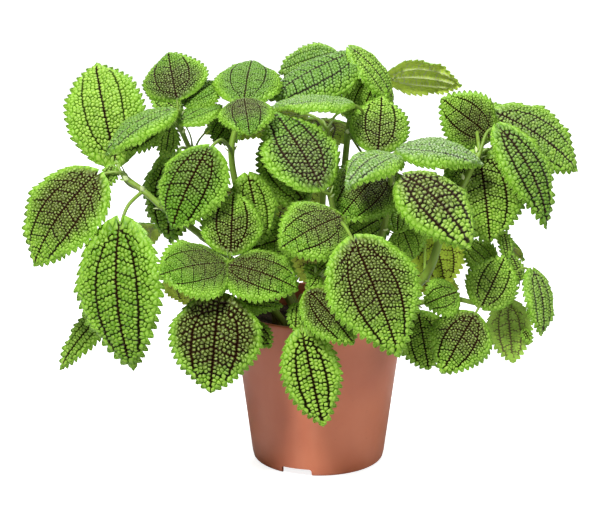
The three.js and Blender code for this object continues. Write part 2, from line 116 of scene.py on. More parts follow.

# Each stem's radius, joints and leaves. A leaf is: the joint it grows from, base x y z, tip x y z, the
# way its face looks (azimuth, elevation), width, and in hundredths its arch, dome and look: (bronze
# centre, darkness of the veins, lightness of the green, which on leaves in shade is partly painted shade,
# painted silvery sheen of the hairs, size of the pebbles, narrowing towards the tip, droop of the
# margin, extra dome on the right). A short look ends as COMMON_LOOK does.
COMMON_LOOK = (0, 100, 10, 40, 0)
SHORTEST_LOOK = 3
STEMS = {
    "left": (
        2.3, [(-24, -6, 88), (-42, -18, 118), (-67, -28, 144), (-93, -25, 163), (-103, -22, 171),
              (-112, -16, 176)],
        (4, -121, 4, 183, -136, 46, 236, -5, 32, 47, 14, 20, (25, 45, 80, 6, 100, 0)),
        (4, -131, -12, 178, -168, -26, 126, -22, 35, 53, 12, 15, (85, 80, 60, 0, 90, 15)),
        (4, -115, -38, 155, -108, -52, 70, -22, 15, 54, 14, 25, (20, 85, 35, 0, 100, 20)),
        (5, -122, -6, 183, -126, -9, 170, -10, 20, 10, 5, 20, (10, 30, 60, 12)),
    ),
    "top_left": (
        1.9, [(-27, 8, 88), (-48, 10, 130), (-68, 6, 168), (-76, 2, 189), (-81, 0, 202), (-83, -2, 212)],
        (5, -84, 0, 222, -90, 22, 246, -8, 40, 42, 8, 60, (70, 100, 10, 8, 90, 10, 40, -25)),
        (5, -85, -12, 217, -124, -28, 193, -15, 84, 34, 12, 45, (10, 50, 0, 30, 100, 10, 120)),
        (4, -91, 2, 208, -120, -6, 191, 0, 10, 18, 5, 20, (10, 60, 30, 6)),
        (4, -88, -2, 205, -91, -7, 187, 0, 20, 14, 5, 20, (10, 30, 70, 6)),
        (5, -82, -8, 209, -57, 4, 217, -5, 80, 26, 8, 50, (10, 30, 0, 10, 100, 10, 80)),
        (5, -80, 5, 218, -58, 14, 229, -10, 58, 28, 10, 50, (10, 30, 0, 10, 100, 10, 80)),
    ),
    "middle_left": (
        2.3, [(-14, 4, 88), (-32, 2, 125), (-48, -2, 165), (-52, 0, 191), (-48, 4, 208)],
        (4, -44, -10, 222, -40, 34, 239, 0, 58, 42, 10, 60, (30, 85, -20, 16, 74)),
        (4, -44, -14, 224, -40, -40, 207, 0, 50, 33, 10, 50, (70, 90, -20, 10, 74)),
        (4, -52, 18, 207, -63, 16, 192, -10, 5, 22, 5, 20, (30, 40, 20)),
        (3, -64, -28, 197, -85, -44, 153, -12, 38, 44, 8, 50, (50, 100, -40, 0, 105, 5, 40, 10)),
        (2, -42, -12, 178, -34, -26, 139, 12, 20, 27, 5, 20, (25, 50, 60)),
        (2, -9, 0, 159, -36, 8, 192, 10, 25, 29, 5, 20, (20, 40, 35)),
    ),
    "front_left": (
        2, [(-20, -22, 88), (-34, -34, 110), (-46, -44, 128), (-52, -48, 136)],
        (3, -51, -50, 141, -50, -28, 172, 0, 40, 36, 5, 20, (65, 70, 55)),
        (3, -54, -54, 135, -91, -74, 133, -5, 50, 45, 8, 40, (60, 85, 10, 0, 70, -10)),
        (3, -52, -54, 134, -12, -74, 125, 5, 50, 38, 8, 35, (70, 90, 20, 0, 80, -5)),
        (2, -57, -64, 118, -62, -84, 67, -4, 30, 53, 7, 30, (135, 100, 60, 0, 120)),
        (2, -46, -50, 111, -21, -46, 108, 0, 60, 14, 5, 10, (20, 40, 60, 6)),
        (1, -33, -44, 111, -44, -50, 102, 0, 50, 11, 5, 10, (30, 50, 50)),
        (1, -39, -52, 99, -28, -58, 86, 10, 30, 12, 5, 10, (50, 50, 50)),
    ),
    "front": (
        1.8, [(-5, -26, 88), (-5, -42, 106), (-3, -52, 118), (-1, -60, 130)],
        (2, -6, -70, 123, 19, -88, 97, 5, 40, 30, 6, 30, (85, 80, 50, 0, 85)),
        (1, -10, -74, 100, 2, -84, 47, 0, 10, 33, 5, 20, (25, 95, 85, 0, 120, 15)),
        (1, -13, -66, 115, -14, -72, 100, 0, 20, 10, 5, 10, (10, 30, 60)),
        (3, -1, -60, 132, 5, -58, 138, 0, 50, 8, 5, 10, (10, 30, 60)),
        (3, -2, -62, 131, -9, -62, 136, 0, 40, 8, 5, 10, (10, 30, 50)),
        (3, -1, -62, 130, -6, -67, 123, 0, 40, 9, 5, 10, (10, 30, 50)),
    ),
    "middle": (
        2.1, [(4, -6, 88), (6, -20, 120), (9, -32, 152), (6, -38, 172)],
        (3, 0, -42, 178, -28, -8, 216, 18, 40, 46, 6, 25, (60, 100, 0, 12, 110, 25)),
        (2, 12, -52, 162, -23, -72, 148, -5, 40, 43, 8, 40, (65, 90, 35, 0, 80)),
        (2, 19, -74, 153, 44, -100, 93, 4, 30, 53, 7, 25, (80, 90, 60, 0, 88, 30)),
        (1, -12, -10, 142, -44, -14, 133, 5, 20, 28, 5, 20, (20, 50, 40)),
    ),
    "middle_right": (
        2.1, [(14, 0, 88), (28, -12, 118), (38, -20, 148), (42, -22, 176), (43, -24, 187)],
        (4, 46, -22, 195.5, 95, -28, 188, 2, 80, 40, 12, 50, (10, 70, 0, 90, 100, 10, 130)),
        (4, 45, -30, 193, 14, -58, 179, -20, 78, 34, 18, 45, (10, 60, 15, 70, 100, 20, 130)),
        (4, 40, -12, 184, 11, -34, 156, -12, 25, 42, 6, 30, (90, 95, 20, 0, 75)),
        (3, 48, -48, 185, 85, -72, 148, 15, 48, 44, 12, 40, (75, 85, 110, 10, 135, 10, 80)),
        (2, 46, -20, 146, 47, -10, 158, 0, 30, 15, 4, 10, (20, 40, 50)),
        (2, 49, -17, 147, 56, -18, 128.5, 0, 30, 24, 4, 20, (20, 40, 50)),
        (2, 41, -5, 152, 14, -15, 139, 0, 35, 24, 5, 20, (20, 40, 70)),
        (2, 48, -4, 150, 43, 4, 170, 5, 25, 22, 5, 20, (20, 40, 50)),
    ),
    "top": (
        2.2, [(8, 14, 88), (13, 22, 140), (18, 30, 196), (24, 36, 234)],
        (3, 10, 64, 240, -25, 62, 228, -5, 42, 25, 5, 30, (10, 10, 15, 30, 100, 10, 80)),
        (3, 23, 36, 244, -30, 12, 219, -5, 75, 52, 5, 100, (10, 100, -20, 25, 100, 10, 120)),
        (2, 19, 4, 219, -28, -6, 218, -5, 88, 37, 6, 35, (10, 50, 10, 60, 85, 10, 120)),
        (2, 24, 24, 202, 35, 31, 231, 5, 25, 30, 5, 20, (20, 40, 50)),
        (2, 35, 2, 190, 38, 24, 220, 3, 25, 36, 5, 30, (60, 80, 80, 6)),
        (3, 19, 32, 247, 46, 34, 211, 40, 50, 27, 10, 50, (10, 40, 65, 12)),
        (3, 43, 48, 227, 88, 42, 223, 180, 42, 32, 8, 20, (25, 50, 75, 12)),
    ),
    "right": (
        2.6, [(24, -4, 88), (44, -20, 104), (62, -30, 121), (73, -32, 153), (85, -24, 178), (94, -12, 191)],
        (5, 102, 6, 198, 72, 6, 221, -8, 25, 35, 5, 30, (70, 80, 60, 0, 85)),
        (5, 106, 16, 210, 155, 4, 177, 12, 45, 46, 10, 40, (45, 60, 50, 15, 100, 15)),
        (5, 105, -10, 206, 134, -20, 147, 12, 35, 30, 20, 40, (35, 80, 20, 12, 100, 35)),
        (5, 94, -6, 190, 100, -26, 140, 8, 25, 52, 6, 25, (45, 80, 75)),
        # Seen from below and in shade; its lightness above full paints light shining through the blade
        (2, 69, 16, 145, 77, 2, 106, 180, 8, 35, 4, 10, (0, 80, 150)),
    ),
    "lower_right": (
        1.9, [(22, -16, 88), (38, -26, 101), (58, -36, 107), (80, -43, 111), (94, -44, 109),
              (108, -36, 116)],
        (3, 79, -50, 117, 60, -58, 112, 0, 30, 24, 5, 20, (30, 50, 30)),
        (2, 58, -38, 101, 64, -48, 69, 0, 20, 31, 5, 20, (30, 80, 70)),
        (4, 89, -56, 105, 69, -76, 76, 4, 40, 36, 7, 35, (75, 80, 50, 0, 100, 15)),
        (4, 94, -48, 108, 108, -38, 136, 6, 35, 31, 6, 35, (40, 60, 70, 3)),
        (5, 110, -34, 107, 115, -34, 69, 180, 15, 26, 5, 20, (10, 70, 0, 12)),
        (5, 125, -30, 125, 130, -42, 88, 42, 20, 24, 10, 35, (30, 50, 60, 24)),
        (5, 112, -18, 129, 108, -14, 147, 20, 30, 9, 5, 10, (10, 30, 70, 12)),
        (5, 119, -24, 117, 112, -18, 134, 30, 30, 10, 5, 10, (10, 30, 70, 12)),
        (5, 104, -14, 122, 87, -8, 137, 0, 30, 20, 5, 20, (10, 30, 80, 6)),
        (5, 120, -34, 90, 125, -36, 82, 0, 30, 6, 5, 10, (30, 30, 60)),
    ),
    "low_left": (
        1.9, [(-26, 14, 88), (-50, 22, 102), (-80, 28, 108), (-104, 28, 104)],
        (3, -122, 28, 92, -161, 18, 48, -25, 30, 20, 10, 30, (10, 30, 65, 6)),
        (3, -112, 40, 100, -140, 66, 66, -140, 45, 40, 8, 30, (30, 60, 50)),
        (2, -80, 40, 104, -82, 66, 76, 180, 40, 36, 8, 30, (40, 70, 50)),
    ),
    "back_left": (
        2.2, [(-14, 24, 88), (-36, 42, 122), (-62, 54, 155), (-78, 58, 178)],
        (2, -104, 62, 130, -146, 74, 104, -150, 45, 44, 8, 35, (40, 60, 50, 0, 112)),
        (3, -80, 72, 172, -90, 114, 138, 175, 42, 44, 8, 35, (50, 70, 50, 0, 112)),
        (3, -84, 52, 200, -104, 46, 218, -60, 50, 30, 8, 40, (20, 40, 60, 6, 112)),
        (2, -60, 70, 152, -58, 106, 116, 180, 35, 42, 8, 30, (60, 80, 50, 0, 112)),
        (3, -88, 44, 180, -92, 38, 124, -25, 20, 40, 8, 30, (30, 60, 20, 0, 112)),
        (3, -70, 60, 192, -44, 74, 204, 170, 60, 32, 8, 40, (20, 50, 60, 6, 112)),
    ),
    "back": (
        2.2, [(2, 30, 88), (2, 52, 124), (4, 66, 160), (6, 72, 190)],
        (3, 2, 88, 194, -4, 134, 162, 180, 42, 50, 10, 35, (50, 80, 50, 0, 112)),
        (3, -10, 78, 200, -54, 96, 180, -170, 55, 38, 8, 40, (30, 50, 60, 6, 112)),
        (3, 18, 80, 202, 56, 98, 192, 165, 60, 36, 8, 40, (40, 60, 55, 6, 112)),
        (2, -8, 80, 156, -28, 114, 118, -170, 38, 42, 8, 30, (60, 80, 45, 0, 112)),
        (2, 18, 80, 156, 42, 112, 122, 165, 38, 42, 8, 30, (40, 60, 50, 0, 112)),
        (1, 4, 70, 122, 6, 98, 72, 180, 30, 46, 8, 30, (70, 90, 50, 0, 112)),
    ),
    "back_right": (
        2.2, [(22, 20, 88), (44, 38, 118), (70, 48, 148), (84, 50, 174)],
        (3, 100, 56, 180, 142, 62, 150, 130, 42, 44, 8, 35, (40, 70, 55, 0, 112)),
        (3, 88, 68, 180, 102, 110, 148, 165, 42, 44, 8, 35, (60, 80, 50, 0, 112)),
        (3, 88, 44, 190, 112, 40, 212, 70, 50, 28, 8, 40, (20, 40, 65, 6, 112)),
        (2, 74, 66, 146, 86, 98, 106, 170, 38, 40, 8, 30, (50, 70, 50, 0, 112)),
        (2, 88, 46, 142, 130, 44, 112, 110, 42, 38, 8, 30, (30, 60, 50, 0, 112)),
        (1, 60, 46, 112, 84, 66, 76, 150, 35, 36, 8, 30, (60, 80, 45, 0, 112)),
    ),
}


class Leaf:
    """One blade. u runs from its base (0) to its tip (1), v from its left edge (-1) to its right (1).

    Flat places on it are x, across, and y, from base to tip.
    """

    def __init__(self, row, seed):
        self.joint, *ends, azimuth, elevation, self.width, arch, dome, look = row
        look = (arch, dome) + look + COMMON_LOOK[len(look) - SHORTEST_LOOK:]
        (self.arch, self.dome, self.bronze, *self.shades, pebble,
         self.narrowing, self.droop, self.right_dome) = np.array(look) / 100
        self.base, tip = np.array(ends, float).reshape(2, 3)
        self.length = np.linalg.norm(tip - self.base)
        self.forward = (tip - self.base) / self.length
        azimuth, elevation = np.radians(azimuth), np.radians(elevation)
        level = cos(elevation)
        face = np.array([sin(azimuth) * level, -cos(azimuth) * level, sin(elevation)])
        self.face = squared(face, self.forward)
        self.right = np.cross(self.forward, self.face)
        self.size = min(1, self.length / FULL_LENGTH)
        self.cell = (PEBBLE + PEBBLE_GROWTH * self.length) * pebble
        self.random = np.random.default_rng(seed)
        self.phase = self.random.uniform(0, ROUND, 4)
        self.fine = np.linspace(0, 1, 600)
        step = np.hypot(self.length * np.gradient(self.fine), np.gradient(self.half(self.fine)))
        self.margin = np.cumsum(step) - step[0]
        self.teeth = max(5, round(self.margin[-1] / (TOOTH + TOOTH_GROWTH * self.length)))
        self.spacing = self.margin[-1] / self.teeth
        self.reach = TOOTH_REACH * self.spacing

    def half(self, u):
        """Half the width, without teeth."""
        taper = 1 - self.narrowing * smoothstep(0.42, 0.95, u)
        return self.width / 2 * np.interp(u, OUTLINE_AT, OUTLINE_HALF) * taper

    def side_vein(self, u):
        return self.half(u) * np.interp(u, SIDE_VEIN_AT, SIDE_VEIN_SHARE)

    def point(self, u, v, lift, push=0.0):
        """Places of the blade, `lift` above its middle surface. `push` widens it, for a tooth."""
        half = self.half(u) + push
        side, reach = np.sign(v), np.abs(v)
        rise = self.arch * 4 * u * (1 - u) * self.length
        slope = self.arch * 4 * (1 - 2 * u)
        upright = unit(self.face - outer(slope, self.forward))
        bend = self.dome + self.right_dome * side
        turn = FOLD + bend * reach
        out = half * (np.sin(turn) - sin(FOLD)) * side / bend
        drop = half * (np.cos(turn) - cos(FOLD)) / bend
        back = AURICLE * self.length * reach**2 * np.exp(-((u / 0.14) ** 2))
        normal = upright * np.cos(turn)[:, None] + outer(np.sin(turn) * side, self.right)
        return (
            self.base
            + outer(self.length * u - back, self.forward)
            + outer(rise, self.face)
            + outer(out, self.right)
            + upright * drop[:, None]
            + normal * lift[:, None]
        )

    def tooth(self, u):
        """How far the margin stands out at u: rounded teeth that lean towards the tip."""
        share = (np.interp(u, self.fine, self.margin) / self.margin[-1] * self.teeth) % 1
        rising = np.sin(share / 0.7 * pi / 2) ** 0.85
        falling = np.cos(np.maximum(share - 0.7, 0) / 0.3 * pi / 2) ** 0.9
        shape = np.where(share < 0.7, rising, falling) - 0.3
        return self.reach * shape * smoothstep(0, 0.06, u) * smoothstep(1.0, 0.93, u)

    def outline(self):
        """Flat places round the margin, from the base up the right and down the left."""
        shares = np.array([0, 0.25, 0.55, 0.85] if self.reach > 1.9 else [0, 0.35, 0.75])
        along = (np.arange(self.teeth)[:, None] + shares).ravel() / self.teeth
        u = np.interp(along * self.margin[-1], self.margin, self.fine)
        u = u[(u > 0.05) | (np.arange(len(u)) % len(shares) == 0)][1:]
        side = np.ones(len(u))
        u, side = join([[0], u, [1], u[::-1]]), join([[0], side, [0], -side])
        return np.c_[side * self.half(u), self.length * u]

    def row(self, start, side, loose):
        """Flat places of the pebbles in one row, and which of them are beyond the side vein."""
        cell, vein = self.cell, 0
        # Steps that close in on where the row meets the side vein and the margin
        for _ in range(4):
            vein = self.side_vein((start + CLIMB_IN * vein) / self.length)
        edge = self.width / 2
        for _ in range(8):
            reached = start + CLIMB_IN * vein + CLIMB_OUT * (edge - vein)
            edge = max(vein, (edge + self.half(reached / self.length)) / 2)
        gap = min(0.2 * cell, 0.25 * vein)
        inner = max(1, round((vein - 2 * gap) / cell))
        beyond = max(1, round((edge - vein - gap) / cell))
        x = join([gap + (vein - 2 * gap) * (np.arange(inner) + 0.5) / inner,
                  vein + gap + (edge - vein - gap) * (np.arange(beyond) + 0.5) / beyond])
        y = start + CLIMB_IN * np.minimum(x, vein) + CLIMB_OUT * np.maximum(x - vein, 0)
        free = np.ones(len(x))
        free[[0, inner - 1, min(inner, len(x) - 1)]] = 0.25
        x = x + cell * 0.4 * free * self.random.uniform(-1, 1, len(x))
        y = y + cell * loose * self.random.uniform(-1, 1, len(x))
        return np.c_[x * side, y], np.arange(len(x)) >= inner

    def lobes(self):
        """Flat places of the broad pebble that fills each tooth."""
        u = np.interp((np.arange(self.teeth) + 0.5) * self.spacing, self.margin, self.fine)
        right = np.c_[self.half(u), self.length * u]
        run = np.gradient(right, axis=0)
        right = right + unit(np.c_[-run[:, 1], run[:, 0]]) * 0.42 * self.spacing
        right = right[(right[:, 0] > 0.3 * self.cell) & (right[:, 1] > 0.02 * self.length)]
        return join([right, right * np.array([-1, 1])])

    def pebbles(self):
        """Flat places of all pebbles, and numbers for the band and the panel that each belongs to."""
        edge, lobes = self.outline(), self.lobes()
        places, panels = [], []
        deep = max(2, round(BAND * self.size**0.5 / self.cell))
        pitch = (0.93 * deep + 0.2) * self.cell
        below = int(0.6 * self.width / 2 / pitch) + 2
        for which in (-1, 1):
            shift = self.random.uniform(0, 1)
            for b in range(-below, int(self.length / pitch) + 1):
                for k in range(deep):
                    start = (b + shift) * pitch + (0.1 + 0.93 * (k + 0.5)) * self.cell
                    row, beyond = self.row(start, which, 0.36 if 0 < k < deep - 1 else 0.2)
                    band = (b + below) * 10 + beyond * 5 + (which > 0) * 2
                    places.append(row)
                    panels.append(band * 1000 + k // 2 * 100 + np.arange(len(row)) // 3)
        inner, panels = join(places), join(panels)
        edge_gap, lobe_gap = (np.linalg.norm(inner[:, None] - other, axis=2).min(axis=1)
                              for other in (edge, lobes))
        at = inner[:, 1] / self.length
        clear = self.half(at) - np.abs(inner[:, 0])
        hem = (0.5 * self.spacing + 0.3 * self.cell) * (0.5 + 0.5 * smoothstep(0.03, 0.12, at))
        kept = (edge_gap > hem) & (clear > 0.8 * hem) & (lobe_gap > 0.7 * self.cell) & (at > 0) & (at < 1)
        numbers = join([np.full(len(edge), -1), LOBE + np.arange(len(lobes)), panels[kept]])
        return join([edge, lobes, inner[kept]]), numbers, len(edge)

    def waves(self, u, v):
        """Slow swells of the blade: panels between the main veins, and a wavy margin."""
        x, y = np.abs(self.half(u) * v), self.length * u
        side = np.sign(v)
        between = np.sin(np.clip(x / np.maximum(self.side_vein(u), 0.1), 0, 2) * pi) ** 2
        swell = 0.9 * self.size * between * np.sin(pi * u)
        ripple = np.sin(y * 0.3 + self.phase[0] + side * 2) + 0.6 * np.sin(y * 0.55 + self.phase[1] - side)
        droop = self.droop * 2.2 * self.size * np.clip(np.abs(v) / 0.4 - 1.5, 0, 1) ** 2
        return swell - droop + 0.9 * self.size * ripple * np.abs(v) ** 4 * smoothstep(0, 0.2, u)

    def centre(self, u, v):
        """How near the middle of the leaf a place is, where old leaves turn bronze."""
        return (1 - v**2) ** 0.8 * smoothstep(1.02, 0.35, u)


def triangles(places, edge):
    """Triangles between the places, inside their first `edge` ones."""
    made = delaunay_2d_cdt([Vector(p) for p in places.tolist()], [], [list(range(edge))], 1, 1e-6)
    order = np.array([ids[0] if ids else -1 for ids in made[3]])
    found = order[np.array([f for f in made[2] if len(f) == 3])]
    found = found[(found >= 0).all(axis=1)]
    corner, second, third = places[found.T]
    (x, y), (across, up) = (second - corner).T, (third - corner).T
    area = x * up - y * across
    found[area < 0] = found[area < 0][:, ::-1]
    return found[np.abs(area) > 1e-4]


def meeting(places, found):
    """The place inside each triangle where the valleys between its three pebbles meet."""
    a, b, c = places[found.T]
    squares = [((p - q) ** 2).sum(axis=1) for p, q in ((b, c), (c, a), (a, b))]
    weights = np.stack([squares[k] * (squares[k - 1] + squares[k - 2] - squares[k]) for k in range(3)], 1)
    weights = np.clip(weights / weights.sum(axis=1, keepdims=True), 0.12, None)
    weights /= weights.sum(axis=1, keepdims=True)
    return (weights[:, :, None] * places[found]).sum(axis=1)


class Mesh:
    """Collects vertices, faces and what each carries, for one piece."""

    def __init__(self):
        self.points, self.values, self.faces, self.slots, self.patches = [], [], [], [], []

    def add(self, points, values):
        """Adds vertices and gives the number of the first. values are by column, zero where left out."""
        table = np.zeros((len(points), len(VALUES)))
        for column, value in values.items():
            table[:, column] = value
        self.points.append(points)
        self.values.append(table)
        return sum(map(len, self.points[:-1]))

    def face(self, faces, slot, flat):
        """Adds triangles. flat gives each corner a place on a patch of the bake's map."""
        self.faces.append(faces)
        self.slots.append(np.full(len(faces), slot))
        self.patches.append(flat - flat.reshape(-1, 2).min(axis=0))

    def build(self, name, materials):
        points, faces, values = metres(join(self.points)), join(self.faces), join(self.values)
        mesh = bpy.data.meshes.new(name)
        mesh.vertices.add(len(points))
        mesh.vertices.foreach_set("co", points.ravel())
        mesh.loops.add(faces.size)
        mesh.loops.foreach_set("vertex_index", faces.ravel())
        mesh.polygons.add(len(faces))
        mesh.polygons.foreach_set("loop_start", np.arange(0, faces.size, 3))
        mesh.polygons.foreach_set("material_index", join(self.slots))
        for column, word in enumerate(VALUES):
            mesh.attributes.new(word, "FLOAT", "POINT").data.foreach_set("value", values[:, column])
        mesh.uv_layers.new(name="OFBake").data.foreach_set("uv", pack(self.patches).ravel())
        mesh.update(calc_edges=True)
        finish(mesh, 80, *materials)
        return make_object(name, mesh)


def finish(mesh, sharp, *materials):
    """Smooth shading, apart from edges of more than `sharp` degrees, and materials."""
    mesh.shade_smooth()
    mesh.set_sharp_from_angle(angle=radians(sharp))
    for material in materials:
        mesh.materials.append(material)


def pack(patches):
    """Lays the patches side by side in rows on a square, a millimetre apart."""
    sizes = np.array([p.reshape(-1, 2).max(axis=0) + 1.0 for p in patches])
    order = np.argsort(-sizes[:, 1])
    side = max(sqrt((sizes[:, 0] * sizes[:, 1]).sum()) * 1.02, sizes[:, 0].max())
    while True:
        corners = np.zeros((len(patches), 2))
        x = y = row = 0.0
        for k in order:
            if x + sizes[k, 0] > side:
                x, y, row = 0.0, y + row, 0.0
            corners[k] = x, y
            x, row = x + sizes[k, 0], max(row, sizes[k, 1])
        if y + row <= side:
            break
        side *= 1.04
    return join([((p + c + 0.5) / side).reshape(-1, 2) for p, c in zip(patches, corners)])


def add_blade(mesh, leaf):
    places, panels, edge = leaf.pebbles()
    found = triangles(places, edge)
    count, pebbles, cell, random = len(found), len(places), leaf.cell, leaf.random

    # Every side of a triangle, from one pebble to the next, with the meeting place on its left. On its
    # right is its neighbour's, or a middle of its own at the margin
    sides = np.arange(3 * count)
    start, end = found.ravel(), np.roll(found, -1, axis=1).ravel()
    left, end_ring = sides // 3, sides // 3 * 3 + (sides + 1) % 3
    twin = {key: i for i, key in enumerate(zip(start.tolist(), end.tolist()))}
    other = np.array([twin.get(key, -1) for key in zip(end.tolist(), start.tolist())])
    lone = np.flatnonzero(other < 0)
    a, b = start[lone], end[lone]
    middles, halves = count + np.arange(len(lone)), 3 * count + 2 * np.arange(len(lone))
    right, right_ring = left[other], end_ring[other]
    right[lone], right_ring[lone] = middles, halves
    origin = join([start, b])
    meets_left, meets_right = join([left, middles]), join([right, left[lone]])

    # Flat places: pebbles, meeting places with the margin's middles, and a ring on each pebble
    valley = join([meeting(places, found), (places[a] + places[b]) / 2])
    ring_from = join([start, np.c_[a, b].ravel()])
    ring_to = join([left, np.repeat(middles, 2)])
    share = random.uniform(0.64, 0.84, len(ring_from))
    ring = places[ring_from] * (1 - share)[:, None] + valley[ring_to] * share[:, None]
    flat = join([places, valley, ring])
    rings = pebbles + len(valley)
    on_margin = join([np.arange(pebbles) < edge, np.arange(len(valley)) >= count, np.zeros(len(ring), bool)])
    u = np.clip(flat[:, 1] / leaf.length, 0, 1)
    v = np.clip(flat[:, 0] / np.maximum(leaf.half(u), 1e-3), -1, 1)
    v[on_margin] = np.sign(flat[on_margin, 0])
    v[(u <= 0) | (u >= 1)] = 0

    # How strong a vein runs through each meeting place
    x, at = np.abs(valley[:, 0]), u[pebbles:rings]
    beside = smoothstep(0.55 * cell, 0.3 * cell, np.abs(x - leaf.side_vein(at)))
    main = np.maximum(smoothstep(0.5 * cell, 0.3 * cell, x), beside * smoothstep(0.97, 0.85, at) * 0.85)
    group = panels[found]
    whole = (group >= 0).all(axis=1) & (group < LOBE).all(axis=1)
    panel, band = ((np.ptp(numbers, axis=1) > 0) & whole for numbers in (group, group // 1000))
    vein = np.maximum(join([0.16 + 0.2 * panel + 0.34 * band, np.full(len(lone), 0.2)]), main)
    hemmed = join([(found < edge).sum(axis=1) > 1, np.ones(len(lone), bool)])
    vein[hemmed] = 0.1

    # Heights
    tall = 0.5 * cell * random.uniform(0.65, 1.2, pebbles)
    tall[:edge] = 0.02 * cell
    tall[panels >= LOBE] = 0.17 * leaf.spacing
    deep = -0.07 * cell - 0.1 * cell * np.clip(vein - 0.3, 0, 1) - 0.45 * leaf.size * main
    merged = random.uniform(-0.45, 0.55, count).clip(0, 1) * (vein[:count] < 0.4)
    deep[:count] += merged * cell * 0.8
    deep[hemmed] = 0.1 * cell
    deep[count:] = -0.02
    crown = 1.38 - 0.8 * share + random.uniform(-0.12, 0.12, len(ring))
    lift = join([tall, deep, deep[ring_to] + (tall[ring_from] - deep[ring_to]) * crown])
    swell = leaf.waves(u, v)
    push = np.where(on_margin, leaf.tooth(u), 0.0)
    lean = leaf.forward * (0.5 * push)[:, None]

    tint = random.uniform(-0.3, 0.3, pebbles)
    ring_tint = tint[ring_from] + random.uniform(-0.15, 0.15, len(ring))
    meets = np.maximum(np.bincount(origin, minlength=pebbles), 1)
    around = np.bincount(origin, vein[meets_left], pebbles) / meets
    values = {
        NET: join([np.ones(pebbles), merged * 0.6, np.zeros(len(lone)), 1 - share]),
        VEIN: join([around, vein, vein[ring_to]]),
        BRONZE: leaf.bronze * leaf.centre(u, v),
        DARK: leaf.shades[0],
        LIGHT: leaf.shades[1] + join([tint, np.zeros(len(valley)), ring_tint]),
        PAINTED_SHEEN: leaf.shades[2],
        OUT: np.abs(v),
    }
    first = mesh.add(leaf.point(u, v, swell + lift + THICKNESS / 2, push) + lean, values)
    ring_left = rings + join([sides, halves + 1])
    ring_right = rings + join([right_ring, end_ring[lone]])
    meets_left, meets_right = pebbles + meets_left, pebbles + meets_right
    wedges = join([
        np.c_[origin, ring_right, ring_left],
        np.c_[ring_right, meets_right, meets_left],
        np.c_[ring_right, meets_left, ring_left],
    ])
    mesh.face(wedges + first, TOP, flat[wedges])

    # The underside has the same net, its veins raised, and no rings
    rib = join([0.25 * tall, deep - 0.1 * cell - 0.5 * leaf.size * main, np.zeros(len(ring))])
    rib[on_margin] = 0
    bottom = leaf.point(u, v, swell + rib - THICKNESS / 2, push) + lean
    values = {column: np.broadcast_to(value, len(flat))[:rings] for column, value in values.items()}
    second = mesh.add(bottom[:rings], values)
    facing = np.c_[origin, meets_left, meets_right]
    mesh.face(facing + second, UNDER, flat[facing] * np.array([-1, 1]))

    # The rim between them
    p, q = join([a, pebbles + middles]), join([pebbles + middles, b])
    w = rings + join([halves, halves + 1])
    run = np.where(flat[:, 0] >= 0, 1, -1) * np.interp(u, leaf.fine, leaf.margin)
    for corners in (((p, 0), (q, 0), (q, 1)), ((p, 0), (q, 1), (w, 1)), ((p, 0), (w, 1), (p, 1))):
        ids = [c + (second, first)[high] for c, high in corners]
        patch = [np.c_[run[c], np.full(len(c), THICKNESS * high)] for c, high in corners]
        mesh.face(np.stack(ids, 1), TOP, np.stack(patch, 1))


# Stems, stalks and small entire leaves

STEM_SIDES, STALK_SIDES = 14, 8
STEM_BELOW = 14.0  # how far a stem goes on below its first joint
SWELLING, SWELLING_REACH = 0.16, 2.2
SCALE_ROWS, SCALE_COLUMNS = 7, 5


def through(points, count):
    """A smooth line through the points (centripetal Catmull-Rom), `count` points along it."""
    p = [np.asarray(q, float) for q in points]
    p = [2 * p[0] - p[1]] + p + [2 * p[-1] - p[-2]]
    line = []
    for k in range(len(p) - 3):
        near = p[k:k + 4]
        gaps = np.linalg.norm(np.diff(near, axis=0), axis=1)
        knots = np.cumsum([0, *np.maximum(gaps, 1e-4) ** 0.5])
        t = np.linspace(knots[1], knots[2], 24, endpoint=False)[:, None]
        for spans in (((0, 1), (1, 2), (2, 3)), ((0, 2), (1, 3)), ((1, 2),)):
            near = [((knots[j] - t) * near[n] + (t - knots[i]) * near[n + 1]) / (knots[j] - knots[i])
                    for n, (i, j) in enumerate(spans)]
        line.append(near[0])
    line = join(line + [p[-2][None]])
    run = join([[0], np.cumsum(np.linalg.norm(np.diff(line, axis=0), axis=1))])
    at = np.linspace(0, run[-1], count)
    return np.stack([np.interp(at, run, line[:, i]) for i in range(3)], 1), at


def cells(ids):
    """The four corners of each cell of a grid of vertices, in turn."""
    return ids[:-1, :-1].ravel(), ids[:-1, 1:].ravel(), ids[1:, 1:].ravel(), ids[1:, :-1].ravel()


